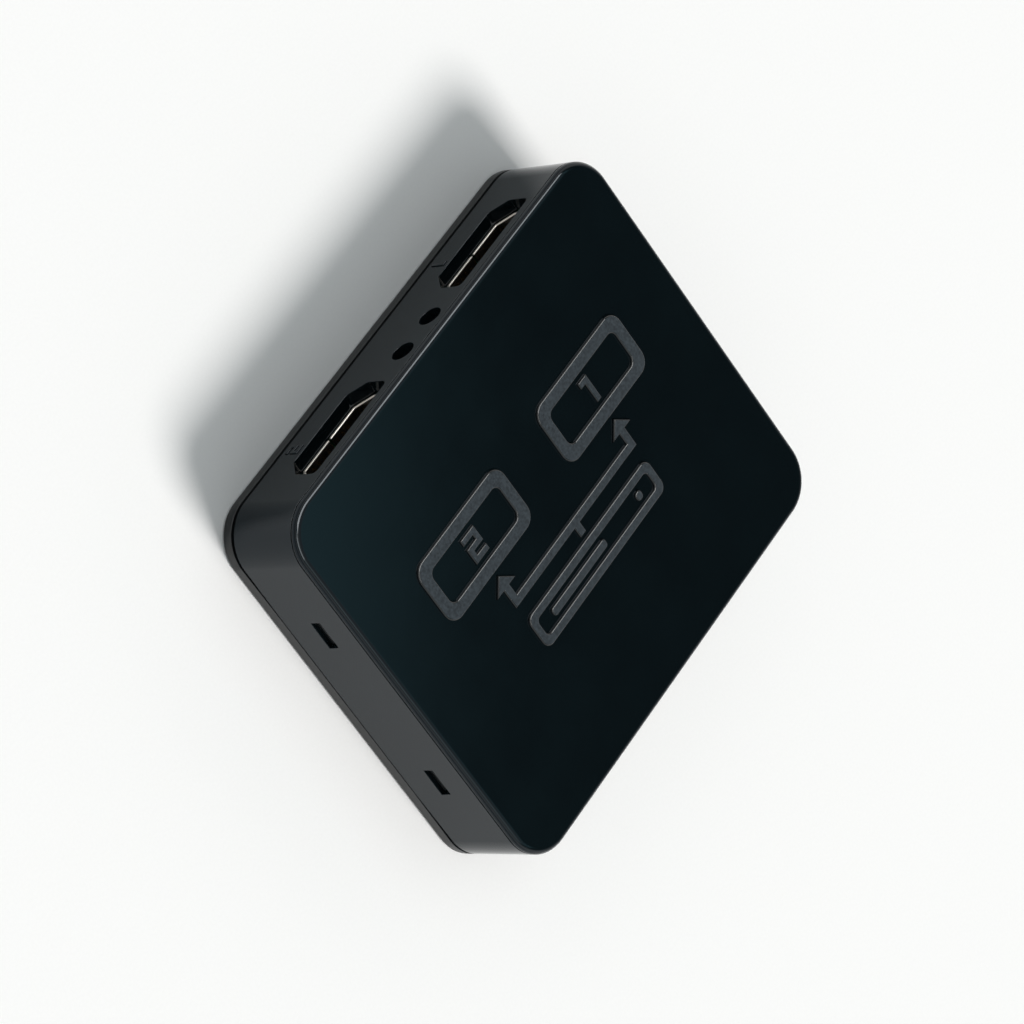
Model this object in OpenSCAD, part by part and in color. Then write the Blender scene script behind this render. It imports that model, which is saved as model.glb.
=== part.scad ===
// Video splitter with one input and two outputs, in a snap-together plastic housing.
// The origin is the middle of the underside. +Z is up, the outputs face +Y,
// and the input and the power inlet face -Y. Lengths are in millimetres.

/* [Housing] */
// Width of the housing, along the output wall
body_w = 65; // [63:0.5:80]
// Depth of the housing, from the input wall to the output wall
body_d = 54.1; // [52:0.1:70]
// Radius of the four upright corners
corner_r = 5.4; // [4:0.1:8]
// Radius of the rounded top edge
edge_r = 0.75; // [0.4:0.05:1.2]
// Thickness of the side walls
wall_t = 1.5; // [1.2:0.1:2]
// Thickness of the top
top_t = 1.3; // [1:0.1:2]
// Distance of the fine mould line below the rounded top edge
mould_line_drop = 0.05; // [0.05:0.05:0.6]
// Height and depth of the mould line in the walls
mould_line_size = 0.15; // [0.05:0.05:0.3]
// Free height between the tallest part on the board and the top
headroom = 0.25; // [0.1:0.05:2]
// Thickness of the stiffening ribs inside the top
rib_t = 0.8; // [0.6:0.1:1.2]
// Height of the stiffening ribs
rib_h = 0.6; // [0.4:0.1:1]
// Distance of the long ribs from the middle
rib_y = 8.5; // [7:0.1:11]
// Distance of the short ribs from the middle
rib_x = 10; // [4:0.5:18]

/* [Bottom cover] */
// Thickness of the bottom cover
cover_t = 1.7; // [1.4:0.1:2.5]
// Radius of the cover's lower edge
cover_edge_r = 0.4; // [0.2:0.1:0.8]
// Height of the fine seam between cover and shell on the side walls
seam_gap = 0.12; // [0.06:0.02:0.3]
// Height of the shadow gap to which the seam opens on the output and input walls
shadow_gap = 0.55; // [0.35:0.05:0.9]
// Distance from those walls at which the seam begins to open
shadow_run = 13; // [8:0.5:18]
// Height of the locating lip above the cover
lip_h = 1.5; // [0.8:0.1:1.8]
// Thickness of the locating lip
lip_t = 1; // [0.6:0.1:1.4]
// Play between plastic pieces that slide together
fit = 0.1; // [0.05:0.01:0.2]

/* [Snap hooks] */
// Distance between the two snap windows of a side wall
snap_pitch = 23.4; // [12:0.1:30]
// Distance of the pair's middle behind the middle of the housing
snap_shift = 0.4; // [0:0.1:2]
// Length of a snap window along the wall
window_l = 3.9; // [2.5:0.1:6]
// Height of a snap window
window_h = 1.55; // [1:0.05:2]
// Height of a window's middle above the underside
window_z = 7; // [5:0.1:9]
// Thickness of a hook's arm
hook_t = 1.1; // [0.8:0.1:1.5]
// Reach of a hook's head into its window
hook_reach = 0.9; // [0.5:0.1:1.1]
// Height of the blunt nose of a hook's head
hook_nose = 0.4; // [0.2:0.1:0.7]
// Gap between a hook and the end of the lip beside it
hook_gap = 0.6; // [0.3:0.1:1.5]

/* [Circuit board] */
// Thickness of the circuit board
board_t = 1.6; // [0.8:0.2:2]
// Height of the board above the cover
board_lift = 2; // [1.8:0.1:4]
// Gap between the board and the side walls
board_side_gap = 2; // [1.8:0.1:3]
// Gap between the board and the output and input walls
board_end_gap = 1; // [0.6:0.1:2]
// Corner radius of the board
board_corner_r = 3; // [1.5:0.1:5]
// Distance of the posts from the board's edges
post_inset = 2.6; // [2.2:0.1:3.2]
// Diameter of the posts that hold the board from below and above
post_d = 3.6; // [3:0.1:4.4]
// Diameter of the locating pins on the lower posts
pin_d = 1.8; // [1.2:0.1:2.2]
// Distance of a pin's end below the board's upper side
pin_short = 0.3; // [0.1:0.1:0.6]
// Play of a pin or a leg in its hole
hole_play = 0.15; // [0.1:0.05:0.3]
// Length of soldered legs below the board
leg_reach = 0.8; // [0.4:0.1:1.4]

/* [Sockets] */
// Distance of an output's middle from the side of the housing
output_edge = 17.05; // [16:0.05:20]
// Distance of the input's middle from the side of the housing
input_edge = 20; // [17.5:0.1:24]
// Inside width of a socket's metal shell
socket_w = 14; // [13.5:0.1:15]
// Inside height of a socket's metal shell
socket_h = 4.55; // [4.2:0.05:5]
// Slanted corners on the lower side of a socket
socket_cut = 1.85; // [1:0.05:2.1]
// Inside bend radius of a socket's metal shell
socket_bend = 0.3; // [0.1:0.05:0.6]
// Depth of a socket's metal shell
socket_depth = 11.2; // [10:0.1:12]
// Thickness of the sheet metal
sheet_t = 0.35; // [0.2:0.05:0.5]
// Gap between a socket's front edge and the inside of the wall
socket_gap = 0.1; // [0.05:0.05:0.5]
// Height of a socket above the board
socket_lift = 0.1; // [0:0.05:0.4]
// Room beside a socket's shell in its mouth in the wall
mouth_side_gap = 0.2; // [0.05:0.05:0.5]
// Room above and below a socket's shell in its mouth in the wall
mouth_end_gap = 0.05; // [0:0.05:0.4]
// Width of the joint in the lower side of a shell
joint_w = 0.16; // [0.1:0.02:0.3]
// Width of a shell's legs
leg_w = 1.2; // [0.8:0.1:1.6]
// Distance of the legs from the front and the rear of a shell
leg_inset = 2.6; // [1.5:0.1:3.5]
// Width of the springs cut in a shell
spring_w = 1.8; // [1.2:0.1:2.2]
// Length of the springs
spring_l = 4.4; // [3:0.1:5]
// Distance of the springs from the front edge
spring_start = 1.2; // [0.8:0.1:2]
// Distance between the two springs of a side
spring_pitch = 6.6; // [5:0.1:7]
// Bow of a spring into the socket
spring_bow = 0.4; // [0.2:0.05:0.6]
// Width of the slot round a spring
spring_slot = 0.3; // [0.2:0.05:0.5]

/* [Socket insides] */
// Width of the tongue
tongue_w = 11.2; // [10.6:0.1:12]
// Thickness of the tongue
tongue_t = 1.7; // [1.4:0.05:1.9]
// Gap above the tongue
tongue_drop = 1.15; // [0.9:0.05:1.4]
// Distance of the tongue's front behind the shell's front edge
tongue_setback = 1; // [0.5:0.1:2]
// Depth of the block that carries the tongue
block_depth = 4.4; // [3:0.1:5]
// Number of contacts on the upper side of the tongue, one fewer lie below
upper_contacts = 10; // [6:1:10]
// Distance between neighbouring contacts of a row
contact_pitch = 1; // [0.9:0.05:1.05]
// Width of a contact
contact_w = 0.3; // [0.2:0.02:0.36]
// Thickness of a contact
contact_t = 0.2; // [0.1:0.02:0.25]
// Height of a contact above the tongue
contact_proud = 0.05; // [0.02:0.01:0.08]
// Distance of the contacts from the tongue's front
contact_setback = 0.5; // [0.2:0.1:1]
// Distance of the contacts' upright parts behind the block
tail_gap = 0.1; // [0.05:0.05:0.3]
// Length of a contact's soldered foot
foot_l = 0.9; // [0.5:0.1:1.2]
// Play of a contact in its groove
groove_play = 0.03; // [0.01:0.01:0.06]

/* [Power inlet] */
// Distance of the power inlet's middle from the side of the housing
power_edge = 18.5; // [15:0.1:23]
// Inside width of the inlet's metal shell
power_w = 7; // [6.8:0.1:8]
// Inside height of the inlet's metal shell
power_h = 2; // [1.8:0.1:2.6]
// Slanted corners on the lower side of the inlet
power_cut = 0.7; // [0.4:0.1:0.9]
// Depth of the inlet's metal shell
power_depth = 5; // [4.6:0.1:6.5]
// Thickness of the inlet's sheet metal
power_sheet_t = 0.25; // [0.2:0.05:0.4]
// Room round the inlet's shell in its mouth in the wall
power_mouth_gap = 0.45; // [0.1:0.05:0.8]
// Width of the inlet's legs
power_leg_w = 0.8; // [0.6:0.1:1]
// Distance of the inlet's legs from the front and the rear of its shell
power_leg_inset = 1.8; // [1.7:0.1:1.9]
// Width of the inlet's tongue
power_tongue_w = 4.2; // [4:0.1:5]
// Thickness of the inlet's tongue
power_tongue_t = 0.7; // [0.5:0.05:0.9]
// Depth of the block that carries the inlet's tongue
power_block_depth = 1.6; // [1:0.1:2.5]
// Number of contacts in the inlet
power_contacts_n = 5; // [4:1:5]
// Distance between the inlet's contacts
power_pitch = 0.65; // [0.6:0.05:0.7]

/* [Indicators] */
// Distance between the two indicator holes
lamp_pitch = 5.85; // [4.5:0.05:7]
// Diameter of an indicator hole
lamp_hole_d = 2.9; // [2:0.1:3.2]
// Height of a lamp's axis above the board
lamp_rise = 4.15; // [3:0.05:6]
// Diameter of a lamp's lens
lamp_d = 3; // [2:0.1:3.2]
// Diameter of a lamp's flange
lamp_flange_d = 3.4; // [3.3:0.1:3.8]
// Thickness of a lamp's flange
lamp_flange_t = 0.9; // [0.5:0.1:1.2]
// Length of a lamp with its flange
lamp_l = 5; // [4:0.1:6]
// Gap between a lamp's tip and the wall
lamp_gap = 0.3; // [0.1:0.1:1]
// Thickness of a lamp's square lead
lead_t = 0.5; // [0.4:0.05:0.6]
// Distance between the two leads of a lamp
lead_pitch = 2.54; // [2:0.02:2.6]
// Length of a lead behind the lamp before it bends down
lead_back = 1.5; // [0.8:0.1:3]

/* [Chips] */
// Distance of the splitter chip in front of the middle of the board
chip_y = 0.5; // [-2:0.1:2]
// Side of the splitter chip
chip_w = 10; // [7:0.5:10]
// Height of the splitter chip
chip_h = 1.4; // [0.9:0.1:1.8]
// Number of leads on each side of the splitter chip
chip_leads_n = 16; // [8:2:16]
// Distance between the splitter chip's leads
chip_pitch = 0.5; // [0.4:0.05:0.55]
// Width of the splitter chip's leads
chip_lead_w = 0.22; // [0.15:0.01:0.28]
// Thickness of the leads of all chips
chip_lead_t = 0.15; // [0.1:0.01:0.2]
// Length of a lead's shoulder
shoulder_l = 0.35; // [0.2:0.05:0.5]
// Length of a lead's foot
lead_foot_l = 0.5; // [0.3:0.05:0.7]
// Gap between a chip and the board
chip_lift = 0.1; // [0.05:0.01:0.15]
// Distance of a memory chip beside the middle of its output
memory_shift = 2.55; // [0:0.05:3]
// Gap between a memory chip's leads and the resistors behind its output
memory_gap = 1.5; // [0.5:0.1:2.5]
// Length of a memory chip
memory_l = 4.9; // [3:0.1:6]
// Width of a memory chip
memory_w = 3.9; // [3:0.1:4.4]
// Height of a memory chip
memory_h = 1.5; // [0.9:0.1:1.7]
// Distance between a memory chip's leads
memory_pitch = 1.27; // [0.65:0.01:1.27]
// Width of a memory chip's leads
memory_lead_w = 0.42; // [0.2:0.02:0.5]
// Distance of the voltage regulator from the side of the board
regulator_side = 6; // [5:0.1:7]
// Distance of the voltage regulator from the rear of the board
regulator_rear = 12.5; // [11:0.1:14]
// Length of the voltage regulator
regulator_l = 6.5; // [5.5:0.1:6.7]
// Width of the voltage regulator
regulator_w = 3.5; // [3:0.1:4]
// Height of the voltage regulator
regulator_h = 1.6; // [1.2:0.1:1.8]
// Width of the regulator's tab
tab_w = 3; // [2:0.1:4]
// Distance between the regulator's leads
regulator_pitch = 2.3; // [1.5:0.1:2.6]
// Width of the regulator's leads
regulator_lead_w = 0.7; // [0.5:0.05:0.9]

/* [Other board parts] */
// Gap between the crystal and the small capacitors round the splitter chip
crystal_gap = 1.5; // [0.5:0.1:2.5]
// Distance of the crystal behind the middle of the splitter chip
crystal_back = 4.5; // [4:0.1:6]
// Length of the crystal's can
crystal_l = 10.6; // [8:0.1:11]
// Width of the crystal's can
crystal_w = 3.9; // [3:0.1:4.2]
// Height of the crystal's can
crystal_h = 2.9; // [2:0.1:4]
// Thickness of the crystal's base
crystal_base_t = 0.6; // [0.4:0.1:1]
// Rim of the crystal's base round its can
crystal_rim = 0.35; // [0.2:0.05:0.5]
// Gap between the power inlet and the capacitor beside it
inlet_capacitor_gap = 3; // [2:0.1:4]
// Distance of that capacitor from the rear of the board
inlet_capacitor_rear = 7; // [6.5:0.1:8]
// Distance of the other capacitor from the side of the board
side_capacitor_side = 4; // [3.5:0.1:4.5]
// Distance of the other capacitor in front of the middle of the board
side_capacitor_y = 2; // [0:0.1:3]
// Diameter of an electrolytic capacitor
capacitor_d = 5; // [4:0.1:5.2]
// Height of an electrolytic capacitor with its base
capacitor_h = 5.4; // [4.4:0.1:5.8]
// Thickness of a capacitor's base
capacitor_base_t = 0.8; // [0.5:0.1:1.2]
// Rim of a capacitor's base round its can
capacitor_rim = 0.15; // [0.1:0.05:0.3]
// Gap between the power inlet's soldered feet and the supply coil
coil_gap = 3.25; // [2:0.05:4]
// Side of the supply coil
coil_w = 4; // [3:0.1:5]
// Height of the supply coil
coil_h = 1.9; // [1.2:0.1:3]
// Length of a surge array
array_l = 2.5; // [2:0.1:2.8]
// Width of a surge array
array_w = 1; // [0.8:0.1:1.2]
// Height of a surge array
array_h = 0.5; // [0.4:0.05:0.7]
// Distance between the surge arrays of a socket
array_pitch = 3.2; // [3:0.1:4]
// Distance of the surge arrays behind a socket's soldered feet
array_gap = 0.5; // [0.3:0.1:1]
// Number of small capacitors on each side of the splitter chip
ring_n = 4; // [2:1:4]
// Distance between neighbouring small capacitors
ring_pitch = 2.2; // [1.8:0.1:2.6]
// Number of resistors behind each output
row_n = 4; // [2:1:5]
// Distance between neighbouring resistors
row_pitch = 2; // [1.5:0.1:2.5]
// Length of a chip resistor or capacitor
chip_part_l = 1; // [0.8:0.05:1.2]
// Width of a chip resistor or capacitor
chip_part_w = 0.5; // [0.4:0.05:0.6]
// Height of a chip resistor
resistor_h = 0.35; // [0.25:0.05:0.5]
// Height of a chip capacitor
chip_capacitor_h = 0.5; // [0.4:0.05:0.7]
// Length of a soldered end of a chip resistor or capacitor
terminal_l = 0.25; // [0.15:0.05:0.35]

/* [Hidden] */
$fn = 48;

// Length by which a cutting shape runs past the face that it cuts
past = 1;

// Heights of the board, of the sockets on it and of the housing over it
board_z = cover_t + board_lift;
board_top = board_z + board_t;
socket_z = board_top + socket_lift + sheet_t + socket_h / 2;
power_z = board_top + socket_lift + power_sheet_t + power_h / 2;
lamp_z = board_top + lamp_rise;
tallest = max(
    lamp_rise + lamp_flange_d / 2,
    socket_lift + socket_h + 2 * sheet_t,
    capacitor_h
);
ceiling_z = board_top + tallest + headroom;
body_h = ceiling_z + top_t;

// Inside of the walls, and the planes where shell and cover meet
inner_w = body_w - 2 * wall_t;
inner_d = body_d - 2 * wall_t;
inner_r = corner_r - wall_t;
rim_z = cover_t + seam_gap;

// Level in the cover at which its lip, hooks and posts are rooted
root_z = cover_t / 2;

// The board and its posts
board_w = inner_w - 2 * board_side_gap;
board_d = inner_d - 2 * board_end_gap;
post_x = board_w / 2 - post_inset;
post_y = board_d / 2 - post_inset;
pin_h = board_t - pin_short;

// Places of the sockets along their walls, their front plane, and the leads of the lamps
output_x = body_w / 2 - output_edge;
input_x = body_w / 2 - input_edge;
power_x = power_edge - body_w / 2;
socket_y = inner_d / 2 - socket_gap;
lamp_back_y = inner_d / 2 - lamp_gap - lamp_l;
lead_y = lamp_back_y - lead_back;

// Levels inside a socket, measured from the middle of its opening
tongue_top = socket_h / 2 - tongue_drop;
tongue_low = tongue_top - tongue_t;
lower_contacts = upper_contacts - 1;
socket_drop = socket_z - board_top;
feet_end = socket_depth + tail_gap + contact_t + foot_l;
power_feet_end = power_depth + tail_gap + contact_t + foot_l;

// Reach of a gull-wing lead beside its chip
lead_reach = shoulder_l + chip_lead_t + lead_foot_l;

// Spots of the small chip parts: a ring round the splitter chip, and a row behind each output
chip_spot = [0, chip_y];
ring_r = chip_w / 2 + lead_reach + chip_part_l;
ring_spots = [for (side = [0 : 3], i = [0 : ring_n - 1])
    let(along = (i - (ring_n - 1) / 2) * ring_pitch)
    [chip_spot + (side % 2 == 0 ? [(1 - side) * ring_r, along] : [along, (2 - side) * ring_r]), 90 * side]];
row_y = socket_y - feet_end - array_gap - array_w - chip_part_l;
row_spots = [for (side = [-1, 1], i = [0 : row_n - 1])
    [[side * output_x + (i - (row_n - 1) / 2) * row_pitch, row_y], 90]];

// Places of the larger parts on the board
memory_y = row_y - chip_part_l / 2 - memory_gap - lead_reach - memory_w / 2;
memory_spots = [for (side = [-1, 1]) [side * (output_x + memory_shift), memory_y]];
regulator_spot = [regulator_side - board_w / 2, regulator_rear - board_d / 2];
crystal_spot = chip_spot - [
    ring_r + chip_part_l / 2 + crystal_gap + crystal_rim + crystal_l / 2,
    crystal_back
];
capacitor_spots = [
    [power_x + power_w / 2 + inlet_capacitor_gap + capacitor_d / 2, inlet_capacitor_rear - board_d / 2],
    [side_capacitor_side - board_w / 2, side_capacitor_y]
];
coil_spot = [power_x, power_feet_end - socket_y + coil_gap + coil_w / 2];

// Colours
gloss_black = "#15191c";
matte_black = "#1b1c1e";
board_green = "#1d4a33";
plated_steel = "#c9c6bf";
gold = "#d9b45a";
solder = "#b9bbbd";
lamp_clear = "#d8e4ea";
chip_black = "#26282a";
ceramic_tan = "#a98b64";
coil_grey = "#4c4d50";

// Section of an outer side: a block with a round top edge and a round lower edge.
module edge_section(reach, height, top_r, low_r) {
    difference() {
        square([reach, height]);
        if (top_r > 0)
            translate([reach - top_r, height - top_r])
                edge_waste(top_r);
        if (low_r > 0)
            translate([reach - low_r, low_r])
                mirror([0, 1])
                    edge_waste(low_r);
    }
}

// What a round edge takes off a square one.
module edge_waste(r) {
    difference() {
        square(2 * r);
        circle(r);
    }
}

// Block with round upright corners. The edge section runs along each side and turns at each corner.
module rounded_block(w, d, h, r, top_r = 0, low_r = 0) {
    flat_w = w - 2 * r;
    flat_d = d - 2 * r;
    translate([-flat_w / 2, -flat_d / 2, 0])
        cube([flat_w, flat_d, h]);
    for (turn = [0 : 3]) {
        reach = (turn % 2 == 0 ? flat_w : flat_d) / 2;
        run = turn % 2 == 0 ? flat_d : flat_w;
        rotate(90 * turn)
            translate([reach, run / 2, 0]) {
                rotate([90, 0, 0])
                    linear_extrude(run)
                        edge_section(r, h, top_r, low_r);
                rotate_extrude(angle = 90)
                    edge_section(r, h, top_r, low_r);
            }
    }
}

// Extrudes a section, drawn in X and Z, along Y.
module along_y(from, to) {
    translate([0, to, 0])
        rotate([90, 0, 0])
            linear_extrude(to - from)
                children();
}

// Extrudes a section, drawn in Y and Z, along X, to both sides of the middle.
module along_x(width) {
    rotate([90, 0, 90])
        linear_extrude(width, center = true)
            children();
}

// Box given by its middle in X and its lowest and highest corners in Y and Z.
module strip(x, width, y_from, y_to, z_from, z_to) {
    translate([x - width / 2, y_from, z_from])
        cube([width, y_to - y_from, z_to - z_from]);
}

// Places at the four posts of the board.
module at_posts() {
    for (side = [-1, 1], end = [-1, 1])
        translate([side * post_x, end * post_y, 0])
            children();
}

// Places at the four snap windows. +X points out of the wall.
module at_windows() {
    for (side = [0, 1], end = [-1, 1])
        translate([0, end * snap_pitch / 2 - snap_shift, 0])
            mirror([side, 0, 0])
                translate([inner_w / 2, 0, 0])
                    children();
}

// Places at the two indicator holes.
module at_lamps() {
    for (side = [-1, 1])
        translate([side * lamp_pitch / 2, 0, 0])
            children();
}

// Place of a socket on the output wall. +Y points out of the mouth, and y = 0 is the shell's front edge.
module at_output(side) {
    translate([side * output_x, socket_y, socket_z])
        children();
}

// Place of the input socket on the opposite wall, turned to face it.
module at_input() {
    translate([input_x, -socket_y, socket_z])
        rotate(180)
            children();
}

// Place of the power inlet, beside the input.
module at_power() {
    translate([power_x, -socket_y, power_z])
        rotate(180)
            children();
}

function unit(v) = v / norm(v);

// Corner b of a convex outline a, b, c, run anticlockwise, rounded with radius r.
function round_corner(a, b, c, r, steps = 4) =
    let(
        before = unit(a - b),
        after = unit(c - b),
        half = acos(before * after) / 2,
        centre = b + unit(before + after) * r / sin(half),
        start = atan2(before[0], -before[1]),
        turn = 180 - 2 * half
    )
    [for (i = [0 : steps]) centre + r * [cos(start + turn * i / steps), sin(start + turn * i / steps)]];

// Outline of a socket: wide above, with two slanted corners below, grown evenly to the outside.
function socket_outline(w, h, cut, grow, r) =
    let(
        half_w = w / 2 + grow,
        half_h = h / 2 + grow,
        slant = cut + grow * (2 - sqrt(2)),
        corners = [
            [-half_w, half_h],
            [-half_w, slant - half_h],
            [slant - half_w, -half_h],
            [half_w - slant, -half_h],
            [half_w, slant - half_h],
            [half_w, half_h]
        ],
        n = len(corners)
    )
    [for (i = [0 : n - 1])
        each round_corner(corners[(i + n - 1) % n], corners[i], corners[(i + 1) % n], r + grow)];

// Mouth of a video socket in the wall.
module socket_mouth() {
    along_y(0, socket_gap + wall_t + past)
        polygon(socket_outline(
            socket_w + 2 * (mouth_side_gap - mouth_end_gap), socket_h, socket_cut,
            sheet_t + mouth_end_gap, socket_bend
        ));
}

// Mouth of the power inlet in the wall.
module power_mouth() {
    along_y(0, socket_gap + wall_t + past)
        polygon(socket_outline(power_w, power_h, power_cut, power_sheet_t + power_mouth_gap, socket_bend));
}

// What the seam takes off shell and cover outside the lip, where it opens to the shadow gap.
module shadow_waste() {
    mid_z = cover_t + seam_gap / 2;
    difference() {
        for (end = [0, 1])
            mirror([0, end, 0])
                along_x(body_w + 2 * past)
                    polygon([
                        [body_d / 2 - shadow_run, mid_z - seam_gap / 2],
                        [body_d / 2, mid_z - shadow_gap / 2],
                        [body_d / 2 + past, mid_z - shadow_gap / 2],
                        [body_d / 2 + past, mid_z + shadow_gap / 2],
                        [body_d / 2, mid_z + shadow_gap / 2],
                        [body_d / 2 - shadow_run, mid_z + seam_gap / 2]
                    ]);
        rounded_block(inner_w - fit, inner_d - fit, body_h, inner_r - fit / 2);
    }
}

// Walls and top of the housing, hollow from below.
module shell_walls() {
    difference() {
        translate([0, 0, rim_z])
            rounded_block(body_w, body_d, body_h - rim_z, corner_r, edge_r);
        rounded_block(inner_w, inner_d, ceiling_z, inner_r);
    }
}

// Ribs under the top and posts that press the board down on the cover's posts.
module shell_ribs_and_posts() {
    rib_z = ceiling_z - rib_h;
    top_root_z = ceiling_z + top_t / 2;
    for (side = [-1, 1]) {
        strip(0, inner_w + wall_t, side * rib_y - rib_t / 2, side * rib_y + rib_t / 2, rib_z, top_root_z);
        strip(side * rib_x, rib_t, -rib_y, rib_y, rib_z, top_root_z);
    }
    at_posts()
        translate([0, 0, board_top])
            cylinder(d = post_d, h = top_root_z - board_top);
}

// Fine mould line that runs round the walls under the rounded top edge.
module mould_line() {
    line_z = body_h - edge_r - mould_line_drop - mould_line_size;
    translate([0, 0, line_z])
        difference() {
            rounded_block(body_w + past, body_d + past, mould_line_size, corner_r);
            rounded_block(
                body_w - 2 * mould_line_size, body_d - 2 * mould_line_size, mould_line_size,
                corner_r - mould_line_size
            );
        }
}

// Upper housing with the mouths of the sockets, the lamp holes and the snap windows.
module top_shell() {
    color(gloss_black)
        difference() {
            union() {
                shell_walls();
                shell_ribs_and_posts();
            }
            mould_line();
            shadow_waste();
            for (side = [-1, 1])
                at_output(side)
                    socket_mouth();
            at_input()
                socket_mouth();
            at_power()
                power_mouth();
            at_lamps()
                translate([0, body_d / 2 + past, lamp_z])
                    rotate([90, 0, 0])
                        cylinder(d = lamp_hole_d, h = wall_t + 2 * past);
            at_windows()
                translate([-past, -window_l / 2, window_z - window_h / 2])
                    cube([wall_t + 2 * past, window_l, window_h]);
        }
}

// Snap hook: an arm along the inside of the wall, with a head whose flat underside catches in the window.
module hook() {
    catch_z = window_z - window_h / 2;
    head_top = window_z + window_h / 2 - fit;
    translate([-fit, window_l / 2 - fit, 0])
        rotate([90, 0, 0])
            linear_extrude(window_l - 2 * fit)
                polygon([
                    [-hook_t, root_z],
                    [0, root_z],
                    [0, catch_z],
                    [hook_reach + fit, catch_z],
                    [hook_reach + fit, catch_z + hook_nose],
                    [0, head_top],
                    [-hook_t, head_top]
                ]);
}

// Lip that locates the cover inside the walls, open beside each hook.
module cover_lip() {
    lip_w = inner_w - 2 * fit;
    lip_d = inner_d - 2 * fit;
    lip_r = inner_r - fit;
    lip_top = cover_t + lip_h;
    difference() {
        translate([0, 0, root_z])
            rounded_block(lip_w, lip_d, lip_top - root_z, lip_r);
        rounded_block(lip_w - 2 * lip_t, lip_d - 2 * lip_t, lip_top + past, lip_r - lip_t);
        at_windows()
            translate([-fit - lip_t - past, -window_l / 2 - hook_gap, 0])
                cube([lip_t + 2 * past, window_l + 2 * hook_gap, lip_top + past]);
    }
}

// Bottom cover with its lip, snap hooks, and posts with pins for the board.
module bottom_cover() {
    color(matte_black) {
        difference() {
            rounded_block(body_w, body_d, cover_t, corner_r, 0, cover_edge_r);
            shadow_waste();
        }
        cover_lip();
        at_windows()
            hook();
        at_posts() {
            translate([0, 0, root_z])
                cylinder(d = post_d, h = board_z - root_z);
            translate([0, 0, root_z])
                cylinder(d = pin_d, h = board_z + pin_h - root_z);
        }
    }
}

// Slots in the board for the four legs of a shell, at the shell's place.
module leg_slots(w, depth, sheet, inset, width) {
    for (side = [-1, 1], y = [-inset, inset - depth])
        translate([side * (w + sheet) / 2, y, -board_top])
            linear_extrude(board_top)
                square([sheet + 2 * hole_play, width + 2 * hole_play], center = true);
}

// Circuit board with holes for the pins, the shells' legs and the lamps' leads.
module circuit_board() {
    color(board_green)
        difference() {
            translate([0, 0, board_z])
                rounded_block(board_w, board_d, board_t, board_corner_r);
            at_posts()
                translate([0, 0, board_z - past])
                    cylinder(d = pin_d + 2 * hole_play, h = board_t + 2 * past);
            for (side = [-1, 1])
                at_output(side)
                    leg_slots(socket_w, socket_depth, sheet_t, leg_inset, leg_w);
            at_input()
                leg_slots(socket_w, socket_depth, sheet_t, leg_inset, leg_w);
            at_power()
                leg_slots(power_w, power_depth, power_sheet_t, power_leg_inset, power_leg_w);
            at_lamps()
                for (side = [-1, 1])
                    translate([side * lead_pitch / 2, lead_y, board_z - past])
                        cylinder(d = lead_t * sqrt(2) + 2 * hole_play, h = board_t + 2 * past);
        }
}

// Spring cut in a shell: it leaves the sheet at the front and bows into the socket.
module spring() {
    tip_l = 1.3;
    tip_rise = 0.2;
    crest_y = tip_l - spring_l;
    along_x(spring_w)
        polygon([
            [sheet_t, 0],
            [0, 0],
            [crest_y, -spring_bow],
            [-spring_l, tip_rise - spring_bow],
            [-spring_l, sheet_t + tip_rise - spring_bow],
            [crest_y, sheet_t - spring_bow],
            [0, sheet_t],
            [sheet_t, sheet_t]
        ]);
}

// Window in the sheet round a spring.
module spring_window() {
    strip(0, spring_w + 2 * spring_slot, -spring_l - spring_slot, 0, -past, sheet_t + past);
}

// Places of the two springs above and the two below in a shell. z = 0 is the inner side of the sheet.
module at_springs() {
    for (face = [0, 1], side = [-1, 1])
        mirror([0, 0, face])
            translate([side * spring_pitch / 2, -spring_start, socket_h / 2])
                children();
}

// Stamped shell of a video socket: a bent tube with a joint below, springs and four soldered legs.
module socket_shell() {
    leg_low = board_z - leg_reach - socket_z;
    color(plated_steel) {
        difference() {
            along_y(-socket_depth, 0)
                difference() {
                    polygon(socket_outline(socket_w, socket_h, socket_cut, sheet_t, socket_bend));
                    polygon(socket_outline(socket_w, socket_h, socket_cut, 0, socket_bend));
                }
            strip(0, joint_w, -socket_depth - past, past, -socket_h / 2 - sheet_t - past, -socket_h / 2 + past);
            at_springs()
                spring_window();
        }
        at_springs()
            spring();
        for (side = [-1, 1], y = [-leg_inset, leg_inset - socket_depth])
            strip(side * (socket_w + sheet_t) / 2, sheet_t, y - leg_w / 2, y + leg_w / 2, leg_low, 0);
    }
}

// One contact: a strip along the tongue, an upright behind the block and a foot on the board.
module contact(x, front, depth, low, drop, play = 0) {
    tail_y = -depth - tail_gap;
    strip(x, contact_w + 2 * play, tail_y - contact_t, front + play, low - play, low + contact_t + play);
    if (play == 0) {
        strip(x, contact_w, tail_y - contact_t, tail_y, -drop, low + contact_t);
        strip(x, contact_w, tail_y - contact_t - foot_l, tail_y, -drop, contact_t - drop);
    }
}

// The two rows of contacts of a video socket. The lower row lies half a pitch beside the upper one.
module socket_contacts(play = 0) {
    front = -tongue_setback - contact_setback;
    color(gold) {
        for (i = [0 : upper_contacts - 1])
            contact(
                (i - (upper_contacts - 1) / 2) * contact_pitch, front, socket_depth,
                tongue_top + contact_proud - contact_t, socket_drop, play
            );
        for (i = [0 : lower_contacts - 1])
            contact(
                (i - (lower_contacts - 1) / 2) * contact_pitch, front, socket_depth,
                tongue_low - contact_proud, socket_drop, play
            );
    }
}

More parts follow.
